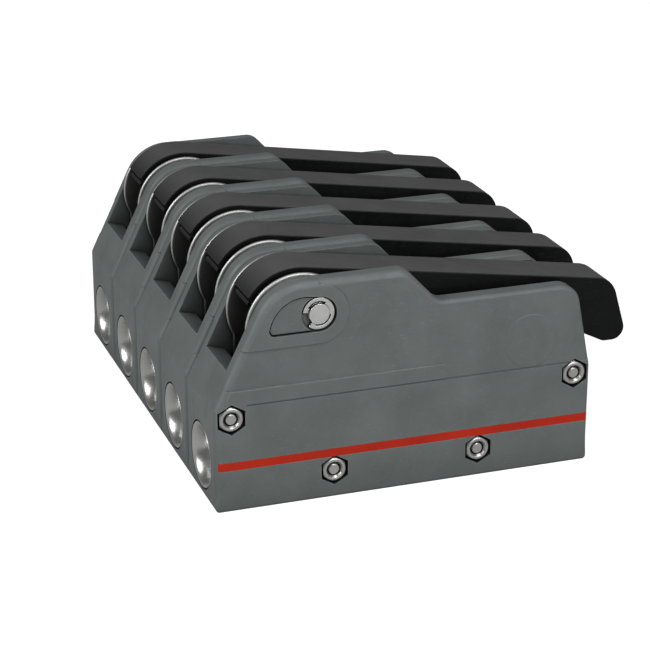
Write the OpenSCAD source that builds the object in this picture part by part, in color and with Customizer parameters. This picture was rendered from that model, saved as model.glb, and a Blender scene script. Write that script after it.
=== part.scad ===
// Bank of lever-operated rope clutches, side by side on shared cross bolts.
// Ropes run along X, the clutches stand side by side along Y and +Z points up
// from the deck. The origin is the centre of the mounting face. In each clutch
// the measures x and z start at the foot of its front face and y at its middle.

/* [Bank] */
// Spacing of the clutches, centre to centre
pitch = 30; // [29:0.5:34]
// Gap between neighbouring casings
seam = 0.1; // [0.05:0.05:0.2]

/* [Casing] */
// Length of the casing along the rope
length = 116; // [115:0.5:118]
// Height of the crown over the lever hub
crown_z = 67; // [66.5:0.1:67.4]
// Radius of the crown at the front
crown_r = 14.9; // [14.5:0.1:15.2]
// Height of the rear top edge
rear_top_z = 56.4; // [55:0.1:57]
// Height where the front face starts to slope
front_z = 31; // [30:0.5:32]
// Slope of the front face from the horizontal
front_slope = 64; // [63:0.5:65]
// Height where the rear face starts to slope
rear_z = 30.5; // [29:0.5:32]
// Thickness of the side walls
wall = 4.95; // [4.8:0.05:5]
// Thickness of the floor over the deck
floor_t = 5.5; // [5:0.1:5.8]
// Height of the front lip below the lever nose
lip_z = 41.5; // [40:0.5:43]
// Height of the rear wall under the lever
rear_wall_z = 36; // [34:0.5:36.5]
// Height of the stripe inlaid along each side
stripe_w = 2.6; // [1.5:0.1:3]

/* [Rope] */
// Height of the rope bushes over the deck
bush_z = 12.2; // [12:0.1:12.6]
// Bore of the rope bushes
bush_bore = 14; // [13:0.5:14]
// Gap between the jaws with the lever closed
rope_gap = 6.6; // [6:0.1:7]

/* [Lever] */
// Distance of the lever pivot from the front face
pivot_x = 31.2; // [31:0.1:31.4]
// Height of the lever pivot
pivot_z = 57; // [56.8:0.1:57.2]
// Diameter of the pivot pin
pivot_d = 6; // [5:0.5:6]
// Width of the lever
lever_w = 14; // [13:0.5:14]
// Opening angle of the lever
lever_travel = 130; // [60:5:130]
// Slope of the closed lever's top
lever_slope = 8.7; // [8.2:0.1:9]

/* [Jaw] */
// Length of the swing links, pin to pin
link_l = 16; // [15:0.5:16]
// Angle of the closed links from the vertical
link_closed = 35; // [34:1:36]
// Angle of the open links from the vertical
link_open = 68; // [60:1:68]
// Radius of the cam below the pivot with the lever closed
cam_r = 16; // [15.5:0.1:16]
// Pitch of the jaw teeth
tooth_pitch = 3.5; // [3:0.25:4]

/* [Fasteners] */
// Diameter of the cross bolts
bolt_d = 4; // [3.5:0.5:4]
// Width of the hexagon nuts across the flats
nut_af = 7; // [6.5:0.5:7]
// Diameter of the mounting holes in the floor
mount_d = 6.4; // [5.4:0.1:6.6]
// Distance between the front and the rear mounting holes
mount_span = 78; // [77:0.5:79]

/* [Hidden] */
units = 5;

$fn = 64;
tiny = 0.01;
slip = 0.05;
steel = [0.72, 0.72, 0.71];
casing_grey = [0.36, 0.385, 0.385];
lever_black = [0.07, 0.07, 0.07];
stripe_red = [0.65, 0.13, 0.06];
alloy = [0.6, 0.6, 0.58];

// Casing, in y: outer face, inner face of each wall, and the panel above the parting
// line, which is recessed at the front and nearly flush at the rear
side_y = (pitch - seam) / 2;
channel_y = side_y - wall;
panel_y = side_y - 0.4;
rear_panel_y = side_y - 0.12;
panel_taper_x = [20, 72];
ledge_end_x = 70;
rope_y = 7;
block_l = 12;
ledge_z = 22;
front_wall = 11;
crown_x = (crown_z - front_z) / tan(front_slope) + crown_r * tan(front_slope / 2);
hub_z = crown_z - crown_r;
notch_x = [57.5, 67.4];
rear_top_x = length - 5;
lip_x = (lip_z - front_z) / tan(front_slope);
parting_x = [9.6, 109.2];
parting_z = 32.4;
ledge_line_z = 36.9;
stripe_z = 14;
groove = 0.5;
line_t = 0.3;
pad_at = [96.5, 40.6];
pad_r = 8.5;

// Return spring
wire_r = 0.5;
coil_r = 3.4;
coil_y = 5;
coil_turns = 5;
hook_at = 8;

// Pivot: the side plates' rim shows around the crown, and the pin sits in a pocket
rim_r = crown_r + 1;
boss_r = 8.8;
pocket_r = 10.6;
pocket_t = 1.6;
pocket_floor_t = 0.6;
pocket_groove = 0.5;
pin_seat_r = 5.2;

// Bolts, as [x, z]: front, two below the jaw, rear
bolts = [[5, 28.3], [35.8, 8.4], [80.6, 8.4], [111, 28.4]];
nut_t = 3.2;
head_t = 2.8;
recess_af = nut_af + 1.1;
recess_t = nut_t + 0.2;
bolt_end = 0.5;
bolt_chamfer = 0.5;
bank_y = units * pitch / 2 - seam / 2;

// Rope bushes: barrel, bell-mouthed flange and the flange's seat
barrel_r = 9;
flange_r = 10;
flange_t = 3;
mouth_l = 7;
seat_r = flange_r + 0.2;
seat_t = flange_t + 0.2;

// Frames, links and jaw, in y from the inside out
jaw_y = 6.8;
cam_y = [7.1, 8.5];
link_y = [7.2, 8.6];
frame_y = [8.8, channel_y - slip];
anchors = [[48, 40.6], [76, 40.6]];
pin_r = 2;
link_r = 3.6;
jaw_pins_at = [for (a = anchors) on_link(a, link_l)];
lower_top_z = 11;
jaw_low_z = lower_top_z + rope_gap;
jaw_top_z = 28;
link_ratio = (link_open - link_closed) / lever_travel;
lug = [[28, 23], [36, pivot_z - cam_r - slip]];
tooth_depth = 1.3;
press = 0.02;
dowel_at = 6.2;
dowel_r = 1.5;

// ---- helpers ----

// Moves a clutch's own measures to clutch k of the bank
module at_unit(k) {
  translate([-length / 2, (k - (units + 1) / 2) * pitch, 0]) children();
}

module every_unit() {
  for (k = [1 : units]) at_unit(k) children();
}

module both_sides() {
  children();
  mirror([0, 1, 0]) children();
}

// Extrudes an outline drawn in x and z from y = a to y = b
module slab(a, b) {
  translate([0, b, 0]) rotate([90, 0, 0]) linear_extrude(b - a) children();
}

// Round bar along y through the point at = [x, z]
module cross_bar(at, r, a, b) {
  slab(a, b) translate(at) circle(r);
}

// Unit vector from p to q
function heading(p, q) = (q - p) / norm(q - p);

// Points of an arc about centre c
function arc(c, r, a0, a1, n = 24) = [
  for (i = [0 : n]) let (a = a0 + (a1 - a0) * i / n) c + r * [cos(a), sin(a)]];

// Arc that rounds the corner p between the points before and after it
function corner(before, p, after, r) =
  let (u = heading(p, before), v = heading(p, after),
       half = acos(max(-1, min(1, u * v))) / 2,
       c = p + r / sin(half) * (u + v) / norm(u + v),
       a0 = atan2((p + u * r / tan(half) - c)[1], (p + u * r / tan(half) - c)[0]),
       a1 = atan2((p + v * r / tan(half) - c)[1], (p + v * r / tan(half) - c)[0]),
       turn = a1 - a0 > 180 ? a1 - a0 - 360 : (a1 - a0 < -180 ? a1 - a0 + 360 : a1 - a0))
  arc(c, r, a0, a0 + turn, max(4, ceil(abs(turn) / 6)));

// Outline through points [x, z, r], each corner rounded to its radius r
function rounded(p) = [
  for (i = [0 : len(p) - 1])
    let (at = [p[i][0], p[i][1]], m = p[(i + len(p) - 1) % len(p)], n = p[(i + 1) % len(p)])
    each (p[i][2] > 0 ? corner([m[0], m[1]], at, [n[0], n[1]], p[i][2]) : [at])];

// Tooth tips and roots along x, with the steep side facing +x when lean is 1
function teeth(x0, x1, z, depth, lean) = [
  for (i = [0 : floor((x1 - x0) / tooth_pitch) - 1])
    each [[x0 + i * tooth_pitch, z],
          [x0 + (i + (lean > 0 ? 0.15 : 0.85)) * tooth_pitch, z - depth]]];

// ---- casing ----

module casing_outline() {
  polygon(rounded([
    [0, 0, 1.2],
    [0, front_z, 3],
    [(crown_z - front_z) / tan(front_slope), crown_z, crown_r],
    [notch_x[0], crown_z, 5],
    [notch_x[1], rear_top_z, 5],
    [rear_top_x, rear_top_z, 6.5],
    [length, rear_z, 6],
    [length, 0, 1.2]]));
}

// Open channel for the lever, the side plates and the jaw
module channel_outline() {
  polygon(rounded([
    [-5, lip_z, 0],
    [lip_x, lip_z, 0],
    [front_wall, lip_z - 1.5, 1],
    [front_wall, ledge_z, 2],
    [length - block_l, ledge_z, 2],
    [length - block_l, rear_wall_z, 1],
    [length + 5, rear_wall_z, 0],
    [length + 5, crown_z + 5, 0],
    [-5, crown_z + 5, 0]]));
}

// Lower part of the side, which stands proud of the panel above it
module lower_side_outline() {
  intersection() {
    casing_outline();
    polygon([[-1, -1], [-1, ledge_line_z], [ledge_end_x, ledge_line_z], [ledge_end_x, parting_z],
             [length + 1, parting_z], [length + 1, -1]]);
  }
}

// Low round pad at the rear that stands on the parting line
module pad_outline() {
  intersection() {
    translate(pad_at) circle(pad_r);
    translate([0, parting_z - tiny]) square([length, crown_z]);
  }
}

// Panel above the parting line, which rises towards the rear
module rear_panel() {
  x = panel_taper_x;
  intersection() {
    slab(-side_y, side_y) casing_outline();
    linear_extrude(crown_z + 1)
      polygon([[x[0], panel_y - tiny], [x[1], rear_panel_y], [length + 1, rear_panel_y],
               [length + 1, -rear_panel_y], [x[1], -rear_panel_y], [x[0], tiny - panel_y]]);
  }
}

// Raised boss around the pivot, running out to the crown and the front edge
module boss_outline() {
  intersection() {
    casing_outline();
    union() {
      translate([pivot_x, pivot_z]) circle(boss_r);
      translate([0, pivot_z - boss_r]) square([pivot_x, crown_z]);
    }
  }
}

// Pocket beside the pin: part of a round about the crown's centre, led on to the pin's seat
module pocket_outline(inset) {
  low = pivot_z - pin_seat_r + inset;
  top = hub_z + pocket_r - inset;
  intersection() {
    translate([crown_x, hub_z]) circle(pocket_r - inset);
    translate([0, low]) square([crown_x, crown_z]);
  }
  polygon([[crown_x - 1, low], [pivot_x, low], [pivot_x, pivot_z + pin_seat_r - inset],
           [crown_x, top], [crown_x - 1, top - 1]]);
}

module pin_seat() {
  translate([pivot_x, pivot_z]) circle(pin_seat_r);
}

// The pocket's floor is raised, with a groove around it and the deeper seat beside it
module pocket() {
  slab(side_y - pocket_floor_t, side_y + 1) pocket_outline(0);
  slab(side_y - pocket_t, side_y + 1) pin_seat();
  slab(side_y - pocket_t, side_y - pocket_floor_t + tiny) difference() {
    pocket_outline(0);
    pocket_outline(pocket_groove);
  }
}

// Hexagon with a point up
module hexagon(af) {
  rotate(30) circle(af / 2 / cos(30), $fn = 6);
}

// Seat for a rope bush that enters from x = 0
module bush_seat() {
  translate([-1, 0, bush_z]) rotate([0, 90, 0]) {
    cylinder(r = barrel_r + slip, h = block_l + 2);
    cylinder(r = seat_r, h = 1 + seat_t);
  }
}

module from_rear() {
  translate([length, 0, 0]) mirror([1, 0, 0]) children();
}

// What each side face of a casing loses
module side_cuts() {
  for (at = bolts) slab(side_y - recess_t, side_y + 1) translate(at) hexagon(recess_af);
  pocket();
  slab(side_y - groove, side_y + 1)
    translate([-1, stripe_z - stripe_w / 2]) square([length + 2, stripe_w]);
  slab(side_y - line_t, side_y + 1)
    translate([parting_x[0], parting_z - groove]) square([parting_x[1] - parting_x[0], groove]);
}

module mount_hole(x) {
  translate([x, 0, -1]) cylinder(d = mount_d, h = floor_t + 2);
  translate([x, 0, floor_t - 3]) cylinder(d1 = mount_d, d2 = mount_d + 6, h = 3 + tiny);
}

module housing(k) {
  color(casing_grey) at_unit(k) difference() {
    union() {
      slab(-panel_y, panel_y) casing_outline();
      both_sides() slab(panel_y - tiny, side_y) lower_side_outline();
      both_sides() slab(panel_y - tiny, side_y) boss_outline();
      rear_panel();
      both_sides() slab(panel_y, side_y) pad_outline();
    }
    slab(-channel_y, channel_y) channel_outline();
    translate([block_l, -rope_y, floor_t])
      cube([length - 2 * block_l, 2 * rope_y, ledge_z]);
    bush_seat();
    from_rear() bush_seat();
    both_sides() side_cuts();
    for (at = bolts) cross_bar(at, bolt_d / 2 + slip, -side_y - 1, side_y + 1);
    cross_bar([pivot_x, pivot_z], pivot_d / 2 + slip, -side_y - 1, side_y + 1);
    for (s = [-1, 1]) mount_hole((length + s * mount_span) / 2);
  }
}

module side_stripes() {
  color(stripe_red) every_unit() both_sides() slab(side_y - groove + tiny, side_y)
    translate([0.3, stripe_z - stripe_w / 2 + tiny]) square([length - 0.6, stripe_w - 2 * tiny]);
}

// ---- rope bushes ----

// Barrel with a bell mouth at x = 0
module bush() {
  bore_r = bush_bore / 2;
  translate([0, 0, bush_z]) rotate([0, 90, 0]) rotate_extrude() polygon(concat(
    [for (a = [6 : 6 : 90]) [flange_r - (flange_r - bore_r) * sin(a), mouth_l * (1 - cos(a))]],
    [[bore_r, block_l], [barrel_r, block_l], [barrel_r, flange_t], [flange_r, flange_t], [flange_r, 0]]));
}

module front_bushes() {
  color(steel) every_unit() bush();
}

module rear_bushes() {
  color(steel) every_unit() from_rear() bush();
}

// ---- lower jaw, fixed on the two lower bolts ----

module lower_jaws() {
  color(alloy) every_unit() difference() {
    slab(-jaw_y, jaw_y) polygon(concat(
      [[26, floor_t + slip], [26, lower_top_z - 3], [30, lower_top_z - 1]],
      teeth(34, 88, lower_top_z, tooth_depth, 1),
      [[90, lower_top_z - 1.5], [90, floor_t + slip]]));
    for (at = [bolts[1], bolts[2]]) cross_bar(at, bolt_d / 2 + slip, -jaw_y - 1, jaw_y + 1);
  }
}

// ---- side frames that carry the links, with the rim around the crown ----

module frame_outline() {
  translate([crown_x, hub_z]) circle(rim_r);
  polygon(rounded([[13, ledge_z + 0.3, 3], [97, ledge_z + 0.3, 3], [91, 46.5, 5], [46, 48, 3],
                   [41, 58, 1], [13, 52, 1]]));
}

module side_frames() {
  color(steel) every_unit() both_sides() difference() {
    slab(frame_y[0], frame_y[1]) frame_outline();
    cross_bar([pivot_x, pivot_z], pivot_d / 2 + slip, 0, pitch);
    for (a = anchors) cross_bar(a, pin_r + press, 0, pitch);
    cross_bar([62, 34], 6, 0, pitch);
  }
}

module anchor_pins() {
  color(steel) every_unit() for (a = anchors) cross_bar(a, pin_r, -frame_y[1], frame_y[1]);
}

// ---- pivot pin through the whole bank ----

pocket_floor_y = bank_y - pocket_t;
pin_head_r = pin_seat_r - 0.5;
clip_y = [-pocket_floor_y - 0.85, -pocket_floor_y - 0.15];
clip_neck_r = pivot_d / 2 - 0.5;
clip_bay_r = pivot_d / 2 + 0.7;

// Sector from angle a0 to a1, out to radius r, about the pivot
module pivot_sector(r, a0, a1) {
  polygon(concat([[pivot_x, pivot_z]], arc([pivot_x, pivot_z], r, a0, a1, 6)));
}

// Ring about the pivot, from radius r0 to r1
module pivot_ring(r0, r1) {
  translate([pivot_x, pivot_z]) difference() {
    circle(r1);
    circle(r0);
  }
}

// Grooved at the near end for the clip, with a head at the far end
module pivot_pin() {
  color(steel) translate([-length / 2, 0, 0]) difference() {
    union() {
      cross_bar([pivot_x, pivot_z], pivot_d / 2, -bank_y + 0.1, bank_y - 0.1);
      cross_bar([pivot_x, pivot_z], pin_head_r, pocket_floor_y + slip, bank_y - 0.3);
    }
    slab(clip_y[0] - slip, clip_y[1] + slip) pivot_ring(clip_neck_r, pivot_d);
  }
}

// Snap ring with three prongs in the pin's groove and its mouth towards the front
module pivot_clip() {
  color(steel) translate([-length / 2, 0, 0]) difference() {
    slab(clip_y[0], clip_y[1]) pivot_ring(clip_neck_r + slip, pin_head_r);
    slab(clip_y[0] - 1, clip_y[1] + 1) {
      pivot_sector(pivot_d, 172, 232);
      intersection() {
        translate([pivot_x, pivot_z]) circle(clip_bay_r);
        union() {
          pivot_sector(pivot_d, 55, 150);
          pivot_sector(pivot_d, -104, -10);
        }
      }
    }
  }
}

// ---- cross bolts and nuts ----

// Outline of a hexagon head or nut with chamfered corners, base at z = 0
module hex_body(h) {
  corner_r = nut_af / 2 + 0.55;
  intersection() {
    linear_extrude(h) hexagon(nut_af);
    rotate_extrude() polygon([[0, 0], [corner_r, 0], [corner_r, h - 0.75], [nut_af / 2 - 0.25, h], [0, h]]);
  }
}

// Turns a part standing on z = 0 outwards, on the +y side when s is 1
module on_side(at, y, s) {
  translate([at[0], s * y, at[1]]) rotate([-90 * s, 0, 0]) rotate(s > 0 ? 180 : 0) children();
}

module cross_bolts() {
  color(steel) translate([-length / 2, 0, 0]) for (at = bolts) {
    on_side(at, bank_y - recess_t + slip, 1) hex_body(head_t);
    cross_bar(at, bolt_d / 2, -bank_y + bolt_end + bolt_chamfer, bank_y - recess_t + 2 * slip);
    on_side(at, bank_y - bolt_end - bolt_chamfer - tiny, -1)
      cylinder(r1 = bolt_d / 2, r2 = bolt_d / 2 - bolt_chamfer, h = bolt_chamfer + tiny);
  }
}

module hex_nuts() {
  color(steel) translate([-length / 2, 0, 0]) for (at = bolts)
    on_side(at, bank_y - recess_t + slip, -1) difference() {
      hex_body(nut_t);
      translate([0, 0, -1]) cylinder(r = bolt_d / 2 + press, h = nut_t + 2);
      translate([0, 0, nut_t - 0.5]) cylinder(r1 = bolt_d / 2, r2 = bolt_d / 2 + 0.6, h = 0.51);
    }
}

// ---- lever ----

lever_top = [62.5, 63.7];
nose_lip = [[14.3, 57.2], [13.4, 58.2], [14.2, 59.2]];
lever_hub_r = 10.5;
lever_wall = 2.2;
lever_top_t = 3.2;

// Height of the closed lever's top at x
function top_z(x) = lever_top[1] - tan(lever_slope) * (x - lever_top[0]);

nose_r = (lever_top[1] - hub_z) * cos(lever_slope) + (lever_top[0] - crown_x) * sin(lever_slope);

module lever_outline() {
  nose = arc([crown_x, hub_z], nose_r, 147, 90 - lever_slope);
  tail = rounded([
    [115, top_z(115), 0],
    [126.3, top_z(126.3), 8],
    [132, 34, 3.8],
    [124, 34, 3],
    [104, 44, 8],
    [46, 52.4, 4],
    [37, 51.5, 0]]);
  polygon(concat(nose, tail, [[pivot_x, 51], [26, 56], [16, 57.4]], nose_lip));
}

// Hollow under the arm of the lever
module lever_hollow() {
  slab(-lever_w / 2 + lever_wall, lever_w / 2 - lever_wall)
    polygon([[50, 30], [50, top_z(50) - lever_top_t], [117, top_z(117) - lever_top_t],
             [121, 40], [121, 30]]);
}

module lever(k) {
  color(lever_black) at_unit(k) difference() {
    union() {
      slab(-lever_w / 2, lever_w / 2) lever_outline();
      cross_bar([pivot_x, pivot_z], lever_hub_r, -lever_w / 2, lever_w / 2);
    }
    lever_hollow();
    cross_bar([pivot_x, pivot_z], pivot_d / 2 + slip, -lever_w, lever_w);
    dowel_bars(press, lever_w);
  }
}

// Two dowels that key the cam plates to the lever
module dowel_bars(play, reach) {
  for (a = [60, 240])
    cross_bar([pivot_x, pivot_z] + dowel_at * [cos(a), sin(a)], dowel_r + play, -reach, reach);
}

module cam_dowels(k) {
  color(steel) at_unit(k) dowel_bars(0, cam_y[1]);
}

// ---- cam: the flat follower under it rises as the links swing from closed to open ----

cam_hub_r = 8.8;

function link_angle(t) = link_closed + link_ratio * t;
function jaw_lift(t) = link_l * (cos(link_closed) - cos(link_angle(t)));

// Point where the cam touches the follower when the lever has opened by t
function cam_point(t) =
  let (h = cam_r - jaw_lift(t), slide = link_l * sin(link_angle(t)) * link_ratio, a = 270 - t)
  [h * cos(a) - slide * sin(a), h * sin(a) + slide * cos(a)];

module cam_outline() {
  translate([pivot_x, pivot_z]) {
    circle(cam_hub_r);
    polygon(concat([for (t = [0 : 5 : lever_travel]) cam_point(t)],
                   [[0, cam_hub_r - 1], [cam_hub_r - 1, 0]]));
  }
}

module cam_plates(k) {
  color(steel) at_unit(k) both_sides() difference() {
    slab(cam_y[0], cam_y[1]) cam_outline();
    cross_bar([pivot_x, pivot_z], pivot_d / 2 + slip, 0, pitch);
    dowel_bars(press, pitch);
  }
}

// ---- swing links and jaw ----

// Point of a closed link at distance d from its anchor pin
function on_link(anchor, d) = anchor + d * [sin(link_closed), -cos(link_closed)];

module links(k, anchor, spring_hole) {
  color(alloy) at_unit(k) both_sides() difference() {
    union() {
      for (d = [0, link_l]) cross_bar(on_link(anchor, d), link_r, link_y[0], link_y[1]);
      slab(link_y[0], link_y[1]) translate(anchor) rotate(link_closed - 90)
        translate([0, -link_r]) square([link_l, 2 * link_r]);
    }
    for (d = [0, link_l]) cross_bar(on_link(anchor, d), pin_r + slip, 0, pitch);
    if (spring_hole) cross_bar(on_link(anchor, hook_at), wire_r + 0.2, 0, pitch);
  }
}

module jaw_outline() {
  polygon(concat(
    [[27, jaw_top_z], [27, 23], [34, jaw_low_z + 0.6]],
    [for (p = teeth(36, 88, 0, tooth_depth, -1)) [p[0], jaw_low_z - p[1]]],
    [[91, 20], [91, 30], [54, 30], [52, jaw_top_z]]));
  for (at = jaw_pins_at) translate(at) circle(5);
}

module jaw(k) {
  color(alloy) at_unit(k) difference() {
    union() {
      slab(-jaw_y, jaw_y) jaw_outline();
      both_sides() {
        slab(cam_y[0], cam_y[1]) translate(lug[0]) square(lug[1] - lug[0]);
        slab(jaw_y - tiny, cam_y[0] + tiny)
          translate(lug[0]) square([lug[1][0] - lug[0][0], jaw_top_z - lug[0][1]]);
      }
    }
    for (at = jaw_pins_at) cross_bar(at, pin_r + press, -pitch, pitch);
  }
}

module jaw_pins(k) {
  color(steel) at_unit(k) for (at = jaw_pins_at) cross_bar(at, pin_r, -link_y[1], link_y[1]);
}

// ---- return spring: coil about the front anchor pin, one leg in a link, one over the rear pin ----

// Tube of radius r along a path of points that never runs along y
module wire(path, r, sides = 6) {
  last = len(path) - 1;
  rings = [for (i = [0 : last])
    let (t = heading(path[max(i - 1, 0)], path[min(i + 1, last)]),
         u = cross([0, 1, 0], t) / norm(cross([0, 1, 0], t)), v = cross(t, u))
    for (j = [0 : sides - 1]) path[i] + r * (u * cos(360 * j / sides) + v * sin(360 * j / sides))];
  polyhedron(rings, concat(
    [[for (j = [0 : sides - 1]) j]],
    [for (i = [0 : last - 1]) for (j = [0 : sides - 1])
      let (a = i * sides + j, b = i * sides + (j + 1) % sides)
      each [[a, b + sides, b], [a, a + sides, b + sides]]],
    [[for (j = [sides - 1 : -1 : 0]) last * sides + j]]));
}

module return_spring(k) {
  anchor = anchors[0];
  hook = on_link(anchor, hook_at);
  turned = 360 * coil_turns + link_closed - 180 - acos(coil_r / hook_at);
  steps = 10 * coil_turns;
  coil = [for (i = [0 : steps])
    let (a = 90 + turned * i / steps)
    [anchor[0] + coil_r * cos(a), coil_y * (2 * i / steps - 1), anchor[1] + coil_r * sin(a)]];
  color(steel) at_unit(k) {
    wire(concat([[anchors[1][0], -coil_y, anchors[1][1] + pin_r + wire_r + slip]], coil,
                [[hook[0], coil_y, hook[1]]]), wire_r);
    cross_bar(hook, wire_r, coil_y - wire_r, link_y[1]);
  }
}

front_bushes();
rear_bushes();
side_stripes();
lower_jaws();
side_frames();
anchor_pins();
pivot_pin();
pivot_clip();
cross_bolts();
hex_nuts();
for (k = [1 : units]) {
  housing(k);
  lever(k);
  cam_plates(k);
  cam_dowels(k);
  links(k, anchors[0], true);
  links(k, anchors[1], false);
  jaw(k);
  jaw_pins(k);
  return_spring(k);
}
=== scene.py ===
import math

import bmesh
import bpy
from mathutils import Matrix, Vector

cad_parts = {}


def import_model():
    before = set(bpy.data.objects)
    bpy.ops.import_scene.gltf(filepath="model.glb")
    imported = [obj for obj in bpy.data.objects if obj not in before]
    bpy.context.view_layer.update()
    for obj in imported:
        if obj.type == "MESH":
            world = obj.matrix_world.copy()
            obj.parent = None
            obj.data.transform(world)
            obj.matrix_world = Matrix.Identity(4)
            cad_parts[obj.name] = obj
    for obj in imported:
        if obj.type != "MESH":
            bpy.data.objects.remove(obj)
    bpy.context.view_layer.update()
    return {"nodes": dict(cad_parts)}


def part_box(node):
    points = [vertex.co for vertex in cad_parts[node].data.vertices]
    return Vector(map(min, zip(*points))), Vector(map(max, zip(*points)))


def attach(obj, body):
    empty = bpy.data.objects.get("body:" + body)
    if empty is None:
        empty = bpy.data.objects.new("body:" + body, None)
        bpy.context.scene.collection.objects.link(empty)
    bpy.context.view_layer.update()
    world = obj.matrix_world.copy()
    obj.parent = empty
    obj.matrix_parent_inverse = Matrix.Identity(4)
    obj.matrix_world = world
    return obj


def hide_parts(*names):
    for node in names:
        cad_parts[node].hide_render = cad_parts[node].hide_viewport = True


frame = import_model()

# Shapes are drawn in millimetres in one clutch's own measures: x from the foot of its front
# face, y from its middle, z from the deck. They are then moved to each clutch of the bank.
MM = 0.001
UNITS = 5
FIRST_LOW, FIRST_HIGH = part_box("housing_1")
FRONT_X = FIRST_LOW.x
LENGTH = (FIRST_HIGH.x - FIRST_LOW.x) / MM
SIDE_Y = (FIRST_HIGH.y - FIRST_LOW.y) / 2 / MM
PITCH = 30
BANK_Y = SIDE_Y + (UNITS - 1) / 2 * PITCH
# Clearance around what turns or slides in
PLAY = 0.05

# Casing
PANEL_Y, REAR_PANEL_Y, PANEL_TAPER_X = SIDE_Y - 0.4, SIDE_Y - 0.12, (20, 72)
CHANNEL_Y = SIDE_Y - 4.95
ROPE_Y = 7
CROWN_Z, CROWN_R = 67, 14.9
FRONT_Z, FRONT_SLOPE = 31, math.radians(64)
SLOPE_TOP_X = (CROWN_Z - FRONT_Z) / math.tan(FRONT_SLOPE)
CROWN_AT = (SLOPE_TOP_X + CROWN_R * math.tan(FRONT_SLOPE / 2), CROWN_Z - CROWN_R)
REAR_TOP_Z, REAR_Z = 56.4, 30.5
LIP_Z, REAR_WALL_Z, LEDGE_Z = 41.5, 36, 22
FLOOR_T, BLOCK_L, FRONT_WALL = 5.5, 12, 11
LEDGE_LINE_Z, LEDGE_END_X = 36.9, 70
PARTING_Z, PARTING_X, PARTING_W, PARTING_T = 32.4, (9.6, 109.2), 0.4, 0.2
STRIPE_Z, STRIPE_W, GROOVE_T = 14, 2.6, 0.5
EDGE_R, REAR_EDGE_R, FOOT_EDGE_R = 2.2, 1.2, 0.5
REAR_EDGE_X, FOOT_EDGE_Z = (54, 70), (1.2, 6.7)
PAD_AT, PAD_R = (96.5, 40.6), 8.5
# Pivot, bushes and bolts
PIVOT, PIVOT_R, BOSS_R = (31.2, 57), 3, 8.8
POCKET_R, POCKET_T, POCKET_CORNER_R, SEAT_R = 10.6, 1.6, 1.6, 5.2
POCKET_FLOOR_T, POCKET_GROOVE = 0.6, 0.5
BUSH_Z, BORE_R, BARREL_R, FLANGE_R, FLANGE_T, MOUTH_L = 12.2, 7, 9, 10, 3, 7
BOLTS = [(5, 28.3), (35.8, 8.4), (80.6, 8.4), (111, 28.4)]
BOLT_R, BOLT_END, NUT_AF, NUT_T, HEAD_T, COUNTERSINK_R = 2, 0.5, 7, 3.2, 2.8, 2.6
RECESS_AF, RECESS_T = NUT_AF + 1.1, NUT_T + 0.2
MOUNTS_X, MOUNT_R = (19, 97), 3.2
# Lever
LEVER_Y, LEVER_SLOPE, LEVER_EDGE_R = 7, math.radians(8.7), 0.5
LEVER_TOP = (62.5, 63.7)
NOSE_R = ((LEVER_TOP[1] - CROWN_AT[1]) * math.cos(LEVER_SLOPE)
          + (LEVER_TOP[0] - CROWN_AT[0]) * math.sin(LEVER_SLOPE))
HUB_R = 10.5
# Side plates
RIM_R, FRAME_Y, FRAME_EDGE_R = CROWN_R + 1, (8.8, CHANNEL_Y - PLAY), 0.55
ANCHORS, ANCHOR_R = [(48, 40.6), (76, 40.6)], 2
PLATE_HOLE_AT, PLATE_HOLE_R = (62, 34), 6


# ---- outlines: lists of (x, z) ----

def arc(centre, r, start, end, step=4):
    """Points of an arc, angles in degrees."""
    count = max(2, round(abs(end - start) / step))
    turns = [math.radians(start + (end - start) * i / count) for i in range(count + 1)]
    return [(centre[0] + r * math.cos(t), centre[1] + r * math.sin(t)) for t in turns]


def ring(centre, r, count=72):
    return arc(centre, r, 0, 360 * (count - 1) / count, 360 / count)


def rounded(corners, step=5):
    """Outline through corners (x, z, radius), each rounded to its radius."""
    points = []
    for i, (x, z, r) in enumerate(corners):
        p = Vector((x, z))
        if r == 0:
            points.append((x, z))
            continue
        u = (Vector(corners[i - 1][:2]) - p).normalized()
        v = (Vector(corners[(i + 1) % len(corners)][:2]) - p).normalized()
        half = math.acos(max(-1, min(1, u.dot(v)))) / 2
        centre = p + (u + v).normalized() * (r / math.sin(half))
        first = p + u * (r / math.tan(half)) - centre
        last = p + v * (r / math.tan(half)) - centre
        a = math.degrees(math.atan2(first.y, first.x))
        b = math.degrees(math.atan2(last.y, last.x))
        b += 360 * round((a - b) / 360)
        points += arc(centre, r, a, b, step)
    return points


def box_outline(x0, z0, x1, z1):
    return [(x0, z0), (x1, z0), (x1, z1), (x0, z1)]


def hexagon(centre, across, turn=30):
    r = across / 2 / math.cos(math.radians(30))
    return [(centre[0] + r * math.cos(math.radians(60 * i + turn)),
             centre[1] + r * math.sin(math.radians(60 * i + turn))) for i in range(6)]


def anticlockwise(outline):
    area = sum(a[0] * b[1] - b[0] * a[1] for a, b in zip(outline, outline[1:] + outline[:1]))
    return outline if area > 0 else outline[::-1]


def inward(outline):
    """For each point of an anticlockwise outline, the step that moves both its edges in by 1."""
    steps = []
    for i, p in enumerate(outline):
        before = Vector(p) - Vector(outline[i - 1])
        after = Vector(outline[(i + 1) % len(outline)]) - Vector(p)
        n = [Vector((-e.y, e.x)).normalized() for e in (before, after)]
        both = (n[0] + n[1]).normalized()
        steps.append(both / max(0.3, both.dot(n[0])))
    return steps


# ---- solids ----

def new_object(name, mesh):
    made = bpy.data.objects.new(name, mesh)
    bpy.context.scene.collection.objects.link(made)
    return made


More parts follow.
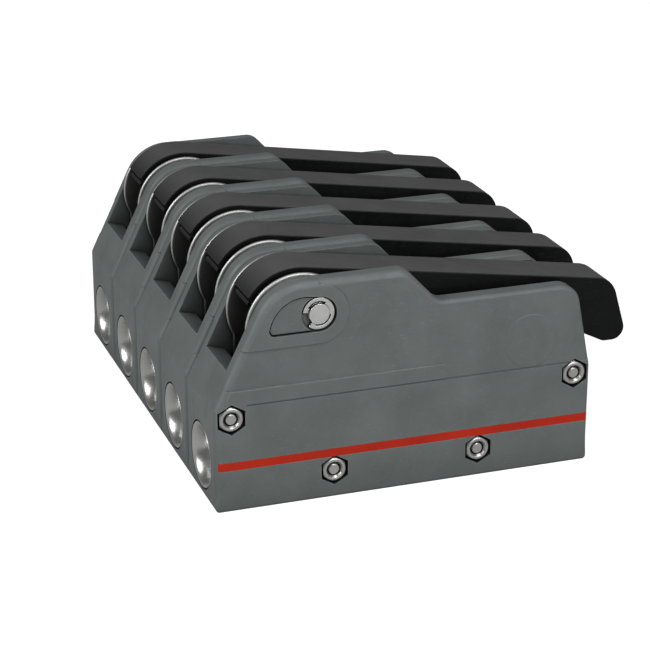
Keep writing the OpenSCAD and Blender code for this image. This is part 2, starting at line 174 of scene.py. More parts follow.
def solid(rings, closed=False):
    """Mesh object through rings of points, with its ends capped unless it closes on itself."""
    bm = bmesh.new()
    loops = [[bm.verts.new(p) for p in points] for points in rings]
    pairs = list(zip(loops, loops[1:])) + ([(loops[-1], loops[0])] if closed else [])
    for low, high in pairs:
        for i in range(len(low)):
            j = (i + 1) % len(low)
            bm.faces.new((low[i], low[j], high[j], high[i]))
    if not closed:
        bm.faces.new(loops[0][::-1])
        bm.faces.new(loops[-1])
    bmesh.ops.recalc_face_normals(bm, faces=bm.faces)
    mesh = bpy.data.meshes.new("solid")
    bm.to_mesh(mesh)
    bm.free()
    return new_object("solid", mesh)


def slab(outline, y0, y1, r0=0, r1=None, steps=5):
    """Outline extruded from y0 to y1, edges rounded to r0 and r1: numbers or functions of x and z."""
    outline = anticlockwise(outline)
    moves = inward(outline)
    r1 = r0 if r1 is None else r1

    def layer(y_end, towards, radius, turn):
        points = []
        for (x, z), move in zip(outline, moves):
            r = radius(x, z) if callable(radius) else radius
            inset = r * (1 - math.sin(turn))
            y = y_end + towards * r * (1 - math.cos(turn))
            points.append((x + move.x * inset, y, z + move.y * inset))
        return points

    def turns(radius):
        return [math.pi / 2 * i / steps for i in range(steps + 1)] if radius != 0 else [math.pi / 2]

    near = [layer(y0, 1, r0, t) for t in turns(r0)]
    far = [layer(y1, -1, r1, t) for t in turns(r1)]
    return solid(near + far[::-1])


def turned(profile, axis, at, count=72):
    """Solid of revolution about a line along axis through at; profile is [(along, radius)]."""
    rings = []
    for i in range(count):
        a = 2 * math.pi * i / count
        c, s = math.cos(a), math.sin(a)
        if axis == "x":
            rings.append([(at[0] + t, at[1] + r * c, at[2] + r * s) for t, r in profile])
        else:
            rings.append([(at[0] + r * c, at[1] + t, at[2] + r * s) for t, r in profile])
    made = solid(rings, closed=True)
    close_poles(made)
    return made


def close_poles(obj):
    bm = bmesh.new()
    bm.from_mesh(obj.data)
    bmesh.ops.remove_doubles(bm, verts=bm.verts, dist=1e-5)
    bmesh.ops.dissolve_degenerate(bm, edges=bm.edges, dist=1e-6)
    bmesh.ops.recalc_face_normals(bm, faces=bm.faces)
    bm.to_mesh(obj.data)
    bm.free()


def combine(base, how, *tools):
    """Boolean of base with each tool in turn; the tools are used up."""
    for tool in tools:
        modifier = base.modifiers.new(how, "BOOLEAN")
        modifier.operation = how
        modifier.solver = "MANIFOLD"
        modifier.object = tool
        graph = bpy.context.evaluated_depsgraph_get()
        mesh = bpy.data.meshes.new_from_object(base.evaluated_get(graph))
        base.modifiers.remove(modifier)
        base.data = mesh
        bpy.data.objects.remove(tool)
    return base


def mirrored(obj, axis=1):
    """Copy of obj mirrored in y (axis 1), or in x about the casing's middle (axis 0)."""
    copy = new_object("solid", obj.data.copy())
    scale = Matrix.Diagonal([-1 if i == axis else 1 for i in range(3)] + [1])
    if axis == 0:
        scale = Matrix.Translation((LENGTH, 0, 0)) @ scale
    copy.data.transform(scale)
    copy.data.flip_normals()
    return copy


def soften(obj, width, chosen, segments=3):
    """Rounds the edges that chosen(edge) picks, in place."""
    bm = bmesh.new()
    bm.from_mesh(obj.data)
    bmesh.ops.dissolve_limit(bm, angle_limit=math.radians(0.5), verts=bm.verts, edges=bm.edges)
    picked = [e for e in bm.edges if len(e.link_faces) == 2 and chosen(e)]
    bmesh.ops.bevel(bm, geom=picked, offset=width, segments=segments, profile=0.5, affect="EDGES",
                    clamp_overlap=True, miter_outer="SHARP")
    bm.to_mesh(obj.data)
    bm.free()


def to_frame(k):
    """Matrix from a clutch's own millimetres to the frame, for clutch k."""
    low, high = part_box(f"housing_{k}")
    return Matrix.Translation((FRONT_X, (low.y + high.y) / 2, 0)) @ Matrix.Scale(MM, 4)


def joined(parts):
    """One object from several; the parts are used up."""
    bm = bmesh.new()
    for part in parts:
        bm.from_mesh(part.data)
        bpy.data.objects.remove(part)
    mesh = bpy.data.meshes.new("joined")
    bm.to_mesh(mesh)
    bm.free()
    return new_object("joined", mesh)


def at_clutch(source, k):
    """Copy of source, moved to clutch k of the bank."""
    copy = new_object("part", source.data.copy())
    copy.data.transform(to_frame(k))
    return copy


def stand_for(piece, name, body, node, material):
    """Makes a modelled piece stand for a CAD node and ride on its body."""
    piece.name = piece.data.name = name
    piece.data.materials.clear()
    piece.data.materials.append(material)
    piece.data.shade_smooth()
    piece.data.set_sharp_from_angle(angle=math.radians(32))
    normals = piece.modifiers.new("flat_faces", "WEIGHTED_NORMAL")
    normals.keep_sharp = True
    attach(piece, body)
    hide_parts(node)


# ---- materials ----

def tree_of(name):
    material = bpy.data.materials.new(name)
    material.use_nodes = True
    return material, material.node_tree


def add(tree, kind, settings=None, **inputs):
    """Adds a node; inputs are values or sockets that feed them, by name or by number (i0, i1...)."""
    node = tree.nodes.new(kind)
    for key, value in (settings or {}).items():
        setattr(node, key, value)
    for key, value in inputs.items():
        numbered = key[0] == "i" and key[1:].isdigit()
        socket = node.inputs[int(key[1:]) if numbered else key.replace("_", " ")]
        if isinstance(value, bpy.types.NodeSocket):
            tree.links.new(value, socket)
        else:
            socket.default_value = value
    return node


def maths(tree, operation, a, b):
    return add(tree, "ShaderNodeMath", {"operation": operation}, i0=a, i1=b).outputs[0]


def mix(tree, factor, a, b):
    return add(tree, "ShaderNodeMix", {"data_type": "RGBA"}, i0=factor, i6=a, i7=b).outputs[2]


def coordinates(tree, stretch=(1, 1, 1)):
    """Object coordinates in metres, moved by a different amount for each piece."""
    place_in = add(tree, "ShaderNodeTexCoord").outputs["Object"]
    chance = add(tree, "ShaderNodeObjectInfo").outputs["Random"]
    shift = maths(tree, "MULTIPLY", chance, 3.7)
    moved = add(tree, "ShaderNodeVectorMath", {"operation": "ADD"}, i0=place_in, i1=shift).outputs[0]
    return add(tree, "ShaderNodeVectorMath", {"operation": "MULTIPLY"}, i0=moved, i1=stretch).outputs[0]


def noise(tree, at, size_mm, detail=2.0, roughness=0.5):
    """Noise with features of about size_mm; its mean is 0.5."""
    return add(tree, "ShaderNodeTexNoise", Vector=at, Scale=1 / (size_mm * MM), Detail=detail,
               Roughness=roughness).outputs["Fac"]


def ramp(tree, value, low, high, start=0.0, end=1.0):
    node = add(tree, "ShaderNodeMapRange", Value=value)
    node.inputs["From Min"].default_value = low
    node.inputs["From Max"].default_value = high
    node.inputs["To Min"].default_value = start
    node.inputs["To Max"].default_value = end
    return node.outputs[0]


def edge_mask(tree, radius_mm, low, high):
    """1 on edges and 0 on flat faces, from how far a bevelled normal leans from the true one."""
    soft = add(tree, "ShaderNodeBevel", {"samples": 6}, Radius=radius_mm * MM).outputs[0]
    true = add(tree, "ShaderNodeNewGeometry").outputs["Normal"]
    lean = add(tree, "ShaderNodeVectorMath", {"operation": "DOT_PRODUCT"}, i0=soft, i1=true).outputs["Value"]
    return ramp(tree, maths(tree, "SUBTRACT", 1.0, lean), low, high)


def paint_shade_in_hollows(tree, colour, reach_mm, amount, clear=0.92):
    """Painted shade: darkens colour towards black where walls within reach_mm leave less than the clear
    share of the sky in view.
    """
    enclosed = clear - 0.52
    open_sky = add(tree, "ShaderNodeAmbientOcclusion", {"samples": 6}, Distance=reach_mm * MM).outputs["AO"]
    return mix(tree, ramp(tree, open_sky, enclosed, clear, amount, 0), colour, (0.004, 0.004, 0.004, 1))


def bumped(tree, layers, edge_mm):
    """Normal with bump layers [(height, depth in mm)] over softly bevelled edges."""
    normal = add(tree, "ShaderNodeBevel", {"samples": 6}, Radius=edge_mm * MM).outputs[0]
    for height, depth in layers:
        normal = add(tree, "ShaderNodeBump", Height=height, Distance=depth * MM, Strength=1.0,
                     Normal=normal).outputs[0]
    return normal


def finish_material(tree, colour, roughness, normal, **more):
    shader = tree.nodes["Principled BSDF"]
    for name, value in {"Base Color": colour, "Roughness": roughness, "Normal": normal, **more}.items():
        name = name.replace("_", " ")
        if isinstance(value, bpy.types.NodeSocket):
            tree.links.new(value, shader.inputs[name])
        else:
            shader.inputs[name].default_value = value


def srgb(*levels):
    """Linear colour of sRGB levels from 0 to 255."""
    shares = [level / 255 for level in levels]
    return tuple(c / 12.92 if c < 0.0404 else ((c + 0.055) / 1.055) ** 2.4 for c in shares) + (1.0,)


def moulded_plastic(name, colours, grain, rough, wear_and_highlight, specular, painted_shade=((1.1, 0.8, 0.92),), painted_sheen=None):
    """Moulded plastic: cloudy colour, fine spark-eroded grain, glass-fibre flecks, and edges lightened
    partly by wear and partly as a painted highlight.

    colours are the dark, light and pale ones, the pale one for the flecks and the lightened edges; grain is
    (size, depth) in mm, and the list of (reach in mm, amount, clear share) sets the painted shade in
    hollows.
    Faces that look up in the piece's own axes take a lighter colour, a painted sheen standing in for
    reflected light.
    """
    dark, light, pale_fleck_and_edge = colours
    grain_mm, grain_depth = grain
    material, tree = tree_of(name)
    at = coordinates(tree)
    clouds = noise(tree, at, 14, 4, 0.6)
    fibres = noise(tree, coordinates(tree, (0.25, 1, 1)), 0.35, 2, 0.7)
    grains = noise(tree, at, grain_mm, 3, 0.6)
    colour = mix(tree, ramp(tree, clouds, 0.3, 0.7), dark, light)
    # Upward faces take a lighter colour: a painted sheen standing in for reflected light from the bright
    # surroundings.
    if painted_sheen:
        own_normal = add(tree, "ShaderNodeTexCoord").outputs["Normal"]
        upward = add(tree, "ShaderNodeSeparateXYZ", Vector=own_normal).outputs["Z"]
        patchy = ramp(tree, clouds, 0.3, 0.7, 0.8, 1)
        colour = mix(tree, maths(tree, "MULTIPLY", ramp(tree, upward, 0.45, 0.95), patchy), colour, painted_sheen)
    colour = mix(tree, ramp(tree, fibres, 0.62, 0.8, 0, 0.35), colour, pale_fleck_and_edge)
    # Edges are lightened in patches, partly as wear and partly as a painted highlight along the roundings.
    wear_and_highlight_patches = ramp(tree, noise(tree, at, 2.5, 4, 0.7), 0.35, 0.75, 0, wear_and_highlight)
    edges = maths(tree, "MULTIPLY", edge_mask(tree, 0.9, 0.02, 0.25), wear_and_highlight_patches)
    colour = mix(tree, edges, colour, pale_fleck_and_edge)
    # Painted shade in hollows, creases and between walls, darkening towards black.
    for reach_mm, amount, clear in painted_shade:
        colour = paint_shade_in_hollows(tree, colour, reach_mm, amount, clear)
    roughness = ramp(tree, noise(tree, at, 6, 5, 0.65), 0.3, 0.7, rough - 0.07, rough + 0.09)
    normal = bumped(tree, [(clouds, 0.05), (grains, grain_depth)], 0.25)
    finish_material(tree, colour, roughness, normal, Specular_IOR_Level=specular)
    return material


def worked_steel(name, tone, rough, brushed=(1, 1, 1), scratch=0.004, stain=0.12, shade_reach_mm=0.8):
    """Stainless steel, its scratches scratch mm deep and drawn out by brushed; edges are rubbed bright and
    hollows get painted shade.
    """
    material, tree = tree_of(name)
    at = coordinates(tree)
    lines = noise(tree, coordinates(tree, brushed), 0.12, 3, 0.6)
    stains = ramp(tree, noise(tree, at, 5, 4, 0.6), 0.35, 0.75, 0, stain)
    colour = mix(tree, stains, tone, (0.30, 0.27, 0.23, 1))
    colour = mix(tree, edge_mask(tree, 0.4, 0.03, 0.3), colour, (0.86, 0.86, 0.85, 1))
    # Painted shade towards black in hollows and where other parts close the steel in.
    colour = paint_shade_in_hollows(tree, colour, shade_reach_mm, 0.85)
    roughness = maths(tree, "ADD", ramp(tree, lines, 0.3, 0.7, rough - 0.04, rough + 0.06),
                      ramp(tree, noise(tree, at, 1.6, 4, 0.7), 0.4, 0.8, 0, 0.08))
    normal = bumped(tree, [(lines, scratch)], 0.2)
    finish_material(tree, colour, roughness, normal, Metallic=1.0)
    return material


def cast_alloy(name):
    """Dull cast alloy: pitted, cloudy and brighter on its edges."""
    material, tree = tree_of(name)
    at = coordinates(tree)
    pits = noise(tree, at, 0.5, 4, 0.7)
    clouds = ramp(tree, noise(tree, at, 7, 4), 0.3, 0.7)
    colour = mix(tree, clouds, (0.33, 0.33, 0.32, 1), (0.48, 0.48, 0.46, 1))
    colour = mix(tree, edge_mask(tree, 0.5, 0.03, 0.3), colour, (0.75, 0.75, 0.73, 1))
    roughness = ramp(tree, pits, 0.3, 0.7, 0.38, 0.58)
    finish_material(tree, colour, roughness, bumped(tree, [(pits, 0.04)], 0.25), Metallic=1.0)
    return material


# The casing and lever get painted shade in hollows and across their channels, edges lightened partly by wear
# and partly as a painted highlight, and the lever a painted sheen on its upward faces.
CASING = moulded_plastic(
    "casing_plastic", (srgb(86, 92, 91), srgb(97, 103, 102), srgb(150, 154, 152)), (0.45, 0.012),
    0.5, 0.6, 0.4, painted_shade=((1.1, 0.8, 0.92), (25, 0.75, 0.7)))
LEVER = moulded_plastic(
    "lever_plastic", (srgb(5, 6, 6), srgb(10, 11, 11), srgb(84, 85, 83)), (0.3, 0.008),
    0.4, 0.55, 0.13, painted_shade=((7, 0.8, 0.92),), painted_sheen=srgb(79, 80, 79))
STRIPE = moulded_plastic(
    "stripe_plastic", (srgb(160, 29, 6), srgb(174, 35, 9), srgb(180, 70, 45)), (0.5, 0.01),
    0.45, 0.4, 0.2)
# Every steel gets painted shade in its hollows; the plates' reaches 25 mm, painting their inner faces across
# the channel dark.
BUSH_STEEL = worked_steel("bush_steel", (0.55, 0.55, 0.54, 1), 0.28, (0.15, 1, 1), 0.001, 0.05)
PLATE_STEEL = worked_steel("plate_steel", (0.6, 0.6, 0.59, 1), 0.46, (1, 0.2, 1), shade_reach_mm=25)
PIN_STEEL = worked_steel("pin_steel", (0.66, 0.66, 0.65, 1), 0.3, (1, 0.3, 1), 0.02, 0.3)
FASTENER_STEEL = worked_steel("fastener_steel", (0.48, 0.48, 0.47, 1), 0.3, scratch=0.012, stain=0.25)
SPRING_WIRE = worked_steel("spring_wire", (0.5, 0.5, 0.5, 1), 0.28)
ALLOY = cast_alloy("jaw_alloy")


# ---- casing ----

def casing_outline():
    """Side view of the casing; the extra points near the deck let the edge radius grow smoothly."""
    foot = [(0, 0, 1.2), (0, 2.4, 0), (0, 4, 0), (0, 7, 0)]
    heel = [(LENGTH, 7, 0), (LENGTH, 4, 0), (LENGTH, 2.4, 0), (LENGTH, 0, 1.2)]
    return rounded(foot + [
        (0, FRONT_Z, 3), (SLOPE_TOP_X, CROWN_Z, CROWN_R), (57.5, CROWN_Z, 5), (67.4, REAR_TOP_Z, 5),
        (LENGTH - 5, REAR_TOP_Z, 6.5), (LENGTH, REAR_Z, 6)] + heel)


def smooth_step(value, low, high):
    t = max(0, min(1, (value - low) / (high - low)))
    return t * t * (3 - 2 * t)


def edge_radius(x, z):
    """The side edges are generously rounded in front, less so behind and nearly sharp at the deck."""
    upper = EDGE_R + (REAR_EDGE_R - EDGE_R) * smooth_step(x, *REAR_EDGE_X)
    return FOOT_EDGE_R + (upper - FOOT_EDGE_R) * smooth_step(z, *FOOT_EDGE_Z)


def rounded_casing(half_width):
    return slab(casing_outline(), -half_width, half_width, edge_radius)


def panelled_casing():
    """Casing as wide as its upper panels, which rise towards the rear."""
    made = rounded_casing(PANEL_Y)
    bm = bmesh.new()
    bm.from_mesh(made.data)
    for x in PANEL_TAPER_X:
        everything = bm.verts[:] + bm.edges[:] + bm.faces[:]
        bmesh.ops.bisect_plane(bm, geom=everything, plane_co=(x, 0, 0), plane_no=(1, 0, 0))
    start, end = PANEL_TAPER_X
    for v in bm.verts:
        share = max(0, min(1, (v.co.x - start) / (end - start)))
        v.co.y += math.copysign(share * (REAR_PANEL_Y - PANEL_Y), v.co.y)
    bm.to_mesh(made.data)
    bm.free()
    return made


def lower_side():
    """Lower part of the sides, which stands proud of the panels; its ledge ends at LEDGE_END_X."""
    outline = [(-5, -5), (LENGTH + 5, -5), (LENGTH + 5, PARTING_Z), (LEDGE_END_X, PARTING_Z),
               (LEDGE_END_X, LEDGE_LINE_Z), (-5, LEDGE_LINE_Z)]
    return slab(outline, -SIDE_Y, SIDE_Y, 0.35, steps=3)


def boss():
    """Round boss about the pivot, which runs out to the crown and the front edge."""
    low = PIVOT[1] - BOSS_R
    right = arc(PIVOT, BOSS_R, -85, 85)
    outline = [(-5, low), (PIVOT[0], low)] + right + [(PIVOT[0], PIVOT[1] + BOSS_R), (30, 75), (-5, 75)]
    return slab(outline, -SIDE_Y, SIDE_Y, 0.18, steps=2)


def pad():
    """Low round pad at the rear of each side."""
    return slab(ring(PAD_AT, PAD_R, 96), -SIDE_Y, SIDE_Y, 0.5, steps=4)


def channel():
    """Open channel for the lever, the side plates and the jaw."""
    lip_x = (LIP_Z - FRONT_Z) / math.tan(FRONT_SLOPE)
    outline = rounded([
        (-9, LIP_Z, 0), (lip_x, LIP_Z, 0), (FRONT_WALL, LIP_Z - 1.5, 1), (FRONT_WALL, LEDGE_Z, 2),
        (LENGTH - BLOCK_L, LEDGE_Z, 2), (LENGTH - BLOCK_L, REAR_WALL_Z, 1), (LENGTH + 9, REAR_WALL_Z, 0),
        (LENGTH + 9, 80, 0), (-9, 80, 0)])
    return slab(outline, -CHANNEL_Y, CHANNEL_Y)


def pocket_half(inset=0):
    """The pocket's round side about the crown's centre, from its lower corner to its top."""
    corner_z = PIVOT[1] - SEAT_R + POCKET_CORNER_R
    reach = math.sqrt((POCKET_R - POCKET_CORNER_R) ** 2 - (corner_z - CROWN_AT[1]) ** 2)
    turn = math.degrees(math.atan2(corner_z - CROWN_AT[1], -reach)) % 360
    corner = arc((CROWN_AT[0] - reach, corner_z), POCKET_CORNER_R - inset, 270, turn, 10)
    return corner + arc(CROWN_AT, POCKET_R - inset, turn, 90)


def pocket():
    """Pocket beside the pin: a raised floor with a groove around it, and the seat of the pin's clip."""
    outline = pocket_half() + arc(PIVOT, SEAT_R, 88, -90)
    floor_y = SIDE_Y - POCKET_FLOOR_T
    low = PIVOT[1] - SEAT_R + POCKET_GROOVE
    top = PIVOT[1] + SEAT_R - POCKET_GROOVE
    raised = pocket_half(POCKET_GROOVE) + [(PIVOT[0], top), (PIVOT[0], low)]
    island = slab(raised, SIDE_Y - POCKET_T - 1, floor_y + 1)
    combine(island, "DIFFERENCE", slab(ring(PIVOT, SEAT_R), 0, SIDE_Y + 1))
    groove = combine(slab(outline, SIDE_Y - POCKET_T, floor_y + 0.01), "DIFFERENCE", island)
    return [slab(outline, floor_y, SIDE_Y + 1), groove]


def side_cutters():
    """Cuts of the +y side: hexagon recesses, pocket, stripe groove and parting line."""
    out = SIDE_Y + 1
    cuts = [slab(hexagon(at, RECESS_AF), SIDE_Y - RECESS_T, out) for at in BOLTS]
    cuts += pocket()
    stripe = box_outline(-1, STRIPE_Z - STRIPE_W / 2, LENGTH + 1, STRIPE_Z + STRIPE_W / 2)
    cuts.append(slab(stripe, SIDE_Y - GROOVE_T, out))
    parting = box_outline(PARTING_X[0], PARTING_Z - PARTING_W, PARTING_X[1], PARTING_Z)
    cuts.append(slab(parting, SIDE_Y - PARTING_T, out))
    return cuts


def casing():
    made = panelled_casing()
    for part in (lower_side(), boss(), pad()):
        combine(made, "UNION", combine(rounded_casing(SIDE_Y), "INTERSECT", part))
    combine(made, "DIFFERENCE", channel())
    soften(made, 0.55, is_channel_rim)
    rope_slot = slab(box_outline(BLOCK_L, FLOOR_T, LENGTH - BLOCK_L, LEDGE_Z + 1), -ROPE_Y, ROPE_Y)
    combine(made, "DIFFERENCE", rope_slot)
    step_x, end_x, wide_r, narrow_r = FLANGE_T + 0.2, BLOCK_L + 1, FLANGE_R + 0.3, BARREL_R + PLAY
    seat = turned([(-1, 0), (-1, wide_r), (step_x, wide_r), (step_x, narrow_r), (end_x, narrow_r),
                   (end_x, 0)], "x", (0, 0, BUSH_Z))
    combine(made, "DIFFERENCE", mirrored(seat, 0), seat)
    for cut in side_cutters():
        combine(made, "DIFFERENCE", mirrored(cut), cut)
    for at in BOLTS:
        combine(made, "DIFFERENCE", slab(ring(at, BOLT_R + PLAY, 32), -SIDE_Y - 1, SIDE_Y + 1))
    combine(made, "DIFFERENCE", slab(ring(PIVOT, PIVOT_R + PLAY, 48), -SIDE_Y - 1, SIDE_Y + 1))
    rim_z = FLOOR_T + 0.2
    hole = [(-1, 0), (-1, MOUNT_R), (FLOOR_T - 3, MOUNT_R), (rim_z, MOUNT_R + 3.2), (rim_z, 0)]
    for x in MOUNTS_X:
        cutter = turned(hole, "x", (0, 0, 0), 48)
        cutter.data.transform(Matrix.Translation((x, 0, 0)) @ Matrix.Rotation(-math.pi / 2, 4, "Y"))
        combine(made, "DIFFERENCE", cutter)
    return made


def is_channel_rim(edge):
    """The casing's inner top edges, where a channel wall meets the outline."""
    if any(abs(abs(v.co.y) - CHANNEL_Y) > 1e-3 or v.co.z < REAR_WALL_Z - 0.5 for v in edge.verts):
        return False
    across = [abs(f.normal.y) for f in edge.link_faces]
    return max(across) > 0.99 and min(across) < 0.2 and edge.calc_face_angle(0) > 1


# ---- lever ----

def lever_top_z(x):
    return LEVER_TOP[1] - math.tan(LEVER_SLOPE) * (x - LEVER_TOP[0])


def lever():
    nose = arc(CROWN_AT, NOSE_R, 147, 90 - math.degrees(LEVER_SLOPE), 3)
    tail = rounded([(115, lever_top_z(115), 0), (126.3, lever_top_z(126.3), 8), (132, 34, 3.8),
                    (124, 34, 3), (104, 44, 8), (46, 52.4, 4), (37, 51.5, 0)])
    outline = nose + tail + [(PIVOT[0], 51), (26, 56), (16, 57.6), (14.5, 59.2)]
    made = slab(outline, -LEVER_Y, LEVER_Y, LEVER_EDGE_R, steps=4)
    combine(made, "UNION", slab(ring(PIVOT, HUB_R), -LEVER_Y + 0.01, LEVER_Y - 0.01, 0.4, steps=3))
    # Bead along the nose's lower edge
    lip = slab(ring((13.8, 58.6), 0.7, 20), -LEVER_Y + 2.2, LEVER_Y - 0.2, 0.3, steps=3)
    combine(made, "UNION", lip)
    wall, roof = 2.2, 3.2
    hollow = [(50, 30), (50, lever_top_z(50) - roof), (117, lever_top_z(117) - roof), (121, 40), (121, 30)]
    inner_y = LEVER_Y - wall
    combine(made, "DIFFERENCE", slab(hollow, -inner_y, inner_y, 0.8, steps=3))
    for x in (66, 82, 98):
        rib = box_outline(x - 0.6, lever_top_z(x) - 9.5, x + 0.6, lever_top_z(x) - roof + 0.5)
        combine(made, "UNION", slab(rib, -inner_y - 0.3, inner_y + 0.3))
    combine(made, "DIFFERENCE", slab(ring(PIVOT, PIVOT_R + PLAY, 48), -9, 9))
    return made


# ---- side plates ----

def side_plates():
    """The two plates of a clutch: each carries the links and shows as a rim around the crown."""
    top = slab(ring(CROWN_AT, RIM_R, 120), FRAME_Y[0], FRAME_Y[1], FRAME_EDGE_R)
    foot = rounded([(13, LEDGE_Z + 0.3, 3), (97, LEDGE_Z + 0.3, 3), (91, 46.5, 5), (46, 48, 3), (41, 58, 1),
                    (13, 52, 1)])
    plate = combine(top, "UNION", slab(foot, FRAME_Y[0] + 0.001, FRAME_Y[1] - 0.001, FRAME_EDGE_R))
    holes = [(PIVOT, PIVOT_R + PLAY), (PLATE_HOLE_AT, PLATE_HOLE_R)]
    holes += [(at, ANCHOR_R + 0.02) for at in ANCHORS]
    for at, r in holes:
        combine(plate, "DIFFERENCE", slab(ring(at, r, 48), 0, SIDE_Y))
    return joined([mirrored(plate), plate])


# ---- rope bush, nut, bolt ----

def bush():
    """Barrel with a flange and an elliptical bell mouth at x = 0."""
    turns = [math.radians(a) for a in range(5, 91, 5)]
    mouth = [(MOUTH_L * (1 - math.cos(t)), FLANGE_R - (FLANGE_R - BORE_R) * math.sin(t)) for t in turns]
    inside = [(BLOCK_L - 0.5, BORE_R), (BLOCK_L, BORE_R + 0.5)]
    outside = [(BLOCK_L, BARREL_R), (FLANGE_T, BARREL_R), (FLANGE_T, FLANGE_R), (0.5, FLANGE_R),
               (0.15, FLANGE_R - 0.15)]
    return turned(mouth + inside + outside, "x", (0, 0, BUSH_Z), 96)


def chamfered_hexagon(at, height):
    """Hexagon standing on y = 0 and rising to y = height, its top corners turned off."""
    corner_r, flat_r = NUT_AF / math.sqrt(3), NUT_AF / 2
    body = slab(hexagon(at, NUT_AF), 0, height)
    blank = turned([(-1, 0), (-1, corner_r + 0.5), (height - 0.95, corner_r + 0.05),
                    (height - 0.15, flat_r - 0.1), (height, flat_r - 0.42), (height, 0)],
                   "y", (at[0], 0, at[1]), 96)
    return combine(body, "INTERSECT", blank)


def nut(at):
    made = chamfered_hexagon(at, NUT_T)
    bore = [(-1, 0), (-1, BOLT_R + 0.03), (NUT_T - 0.7, BOLT_R + 0.03), (NUT_T, COUNTERSINK_R),
            (NUT_T + 0.5, COUNTERSINK_R + 0.05), (NUT_T + 0.5, 0)]
    return combine(made, "DIFFERENCE", turned(bore, "y", (at[0], 0, at[1]), 64))


def on_near_side(obj):
    """Turns a part that stands on y = 0 and points to +y so that it stands in the near side's recess."""
    seat = Matrix.Translation((0, RECESS_T - PLAY - SIDE_Y, 0))
    obj.data.transform(seat @ Matrix.Diagonal((1, -1, 1, 1)))
    obj.data.flip_normals()
    return obj


def bolt(at):
    """Cross bolt of the whole bank: threaded end on the near side, hexagon head on the far side."""
    end, head_y, thread_pitch = BOLT_END - BANK_Y, BANK_Y - RECESS_T + PLAY, 0.7
    profile = [(end, 0), (end, BOLT_R - 0.6), (end + 0.1, BOLT_R - 0.45)]
    for i in range(5):
        y = end + 0.35 + i * thread_pitch
        profile += [(y, BOLT_R - 0.32), (y + thread_pitch / 2, BOLT_R - 0.02)]
    profile += [(end + 3.4, BOLT_R), (head_y + PLAY, BOLT_R), (head_y + PLAY, 0)]
    shank = turned(profile, "y", (at[0], 0, at[1]), 48)
    head = chamfered_hexagon(at, HEAD_T)
    head.data.transform(Matrix.Translation((0, head_y, 0)))
    return combine(head, "UNION", shank)


# ---- the bank ----

def stripes():
    """The inlays of both sides of a clutch, which follow the rounding of its casing."""
    low, high = STRIPE_Z - STRIPE_W / 2 + 0.02, STRIPE_Z + STRIPE_W / 2 - 0.02
    strip = slab(box_outline(-1, low, LENGTH + 1, high), SIDE_Y - GROOVE_T + 0.02, SIDE_Y + 1)
    return combine(rounded_casing(SIDE_Y), "INTERSECT", joined([mirrored(strip), strip]))


def build():
    """Models one clutch's pieces and puts copies of them in the frame."""
    one_per_clutch = [
        (casing(), "casing", "bank", "housing", "casing", CASING),
        (lever(), "handle", "lever", "lever", "lever", LEVER)]
    for source, name, body, node, slot, material in one_per_clutch:
        for k in range(1, UNITS + 1):
            on_body = body if body == "bank" else f"{body}_{k}"
            stand_for(at_clutch(source, k), f"{name}_{k}", on_body, f"{node}_{k}", material)
        bpy.data.objects.remove(source)
    everywhere, first, middle = range(1, UNITS + 1), [1], [(UNITS + 1) // 2]
    front_bush = bush()
    nuts = joined([on_near_side(nut(at)) for at in BOLTS])
    bolts = joined([bolt(at) for at in BOLTS])
    shared = [
        (stripes(), everywhere, "stripes", "side_stripes", "stripe", STRIPE),
        (mirrored(front_bush, 0), everywhere, "rear_rope_bushes", "rear_bushes", "bush_steel", BUSH_STEEL),
        (front_bush, everywhere, "front_rope_bushes", "front_bushes", "bush_steel", BUSH_STEEL),
        (side_plates(), everywhere, "side_plates", "side_frames", "plate_steel", PLATE_STEEL),
        (nuts, first, "nuts", "hex_nuts", "fastener_steel", FASTENER_STEEL),
        (bolts, middle, "bolts", "cross_bolts", "fastener_steel", FASTENER_STEEL)]
    for source, clutches, name, node, slot, material in shared:
        copies = joined([at_clutch(source, k) for k in clutches])
        stand_for(copies, name, "bank", node, material)
        bpy.data.objects.remove(source)


def finish_cad_pieces():
    """Materials and broken edges for the CAD nodes that are shown as they are."""
    finishes = {
        "cam_plates": PLATE_STEEL, "anchor_pins": PIN_STEEL, "pivot_pin": PIN_STEEL, "pivot_clip": PIN_STEEL,
        "cam_dowels": PIN_STEEL, "jaw_pins": PIN_STEEL, "lower_jaws": ALLOY, "front_links": ALLOY,
        "rear_links": ALLOY, "jaw": ALLOY, "return_spring": SPRING_WIRE}
    for name, shown in frame["nodes"].items():
        if shown.hide_render:
            continue
        kind = name.rstrip("0123456789").rstrip("_")
        shown.data.materials.clear()
        shown.data.materials.append(finishes[kind])
        if kind != "return_spring":
            bevel = shown.modifiers.new("edges", "BEVEL")
            bevel.width = 0.2 * MM
            bevel.segments = 2
            bevel.limit_method = "ANGLE"
            bevel.angle_limit = math.radians(40)


# ---- floor, light and camera ----

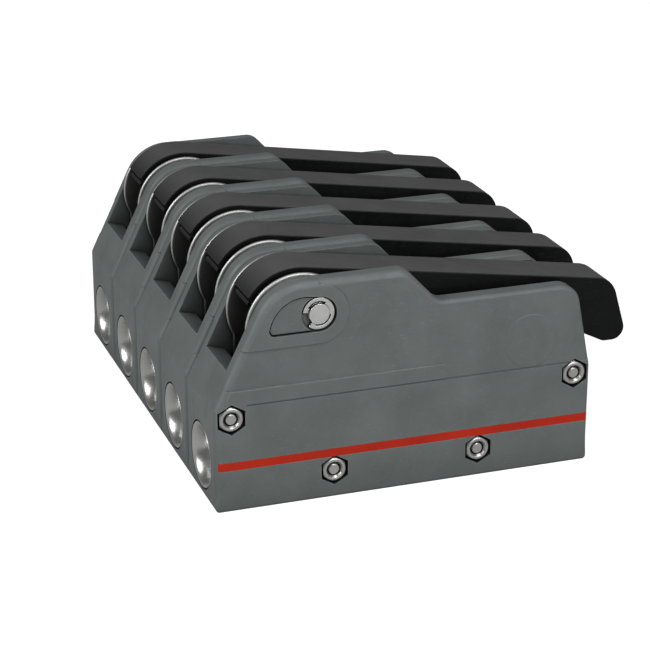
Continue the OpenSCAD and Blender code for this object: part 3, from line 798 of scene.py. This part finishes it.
def floor():
    """Pale floor that the camera sees as white and that still takes soft shadows."""
    material, tree = tree_of("floor_paper")
    at = add(tree, "ShaderNodeTexCoord").outputs["Object"]
    speck = noise(tree, at, 30, 3)
    colour = mix(tree, speck, (0.5, 0.5, 0.5, 1), (0.54, 0.54, 0.54, 1))
    finish_material(tree, colour, 0.8, bumped(tree, [(speck, 0.01)], 0.1), Specular_IOR_Level=0.1)
    shader = tree.nodes["Principled BSDF"]
    seen = add(tree, "ShaderNodeLightPath").outputs["Is Camera Ray"]
    tree.links.new(colour, shader.inputs["Emission Color"])
    tree.links.new(maths(tree, "MULTIPLY", seen, 1.5), shader.inputs["Emission Strength"])
    bm = bmesh.new()
    bmesh.ops.create_grid(bm, x_segments=4, y_segments=4, size=6)
    mesh = bpy.data.meshes.new("floor")
    bm.to_mesh(mesh)
    bm.free()
    plane = new_object("floor", mesh)
    plane.data.materials.append(material)


def softbox(name, at, size, power):
    """Rectangular light at a place, turned towards the middle of the bank."""
    light = bpy.data.lights.new(name, "AREA")
    light.shape = "RECTANGLE"
    light.size, light.size_y = size
    light.energy = power
    lamp = new_object(name, light)
    lamp.location = at
    lamp.rotation_mode = "QUATERNION"
    lamp.rotation_quaternion = (Vector((0, 0, 0.03)) - Vector(at)).to_track_quat("-Z", "Y")


def world():
    """Weak even light all round, and a white backdrop for the camera alone."""
    sky = bpy.data.worlds.new("studio")
    sky.use_nodes = True
    tree = sky.node_tree
    seen = add(tree, "ShaderNodeLightPath").outputs["Is Camera Ray"]
    ambient = add(tree, "ShaderNodeBackground", Color=(1, 1, 1, 1), Strength=0.14)
    backdrop = add(tree, "ShaderNodeBackground", Color=(1, 1, 1, 1), Strength=1.0)
    both = add(tree, "ShaderNodeMixShader", i0=seen, i1=ambient.outputs[0], i2=backdrop.outputs[0])
    tree.links.new(both.outputs[0], tree.nodes["World Output"].inputs["Surface"])
    bpy.context.scene.world = sky


def camera():
    """Long lens in front of the near side, looking down a little."""
    data = bpy.data.cameras.new("camera")
    data.sensor_width = 36
    data.lens = 118.3
    data.clip_start, data.clip_end = 0.02, 50
    eye = new_object("camera", data)
    eye.location = (-0.2089, -0.6039, 0.2690)
    azimuth, elevation = math.radians(-19.15), math.radians(21.04)
    level = math.cos(elevation)
    back = Vector((math.sin(azimuth) * level, -math.cos(azimuth) * level, math.sin(elevation)))
    eye.rotation_mode = "QUATERNION"
    eye.rotation_quaternion = (-back).to_track_quat("-Z", "Y")
    bpy.context.scene.camera = eye


build()
finish_cad_pieces()
floor()
world()
softbox("key", (0.1, -0.55, 1.0), (0.5, 0.35), 4.2)
softbox("left", (-0.9, -0.12, 0.66), (0.5, 0.5), 7.5)
softbox("front", (0.3, -1.0, 0.4), (0.7, 0.5), 5.5)
camera()
bpy.context.scene.view_settings.view_transform = "Standard"
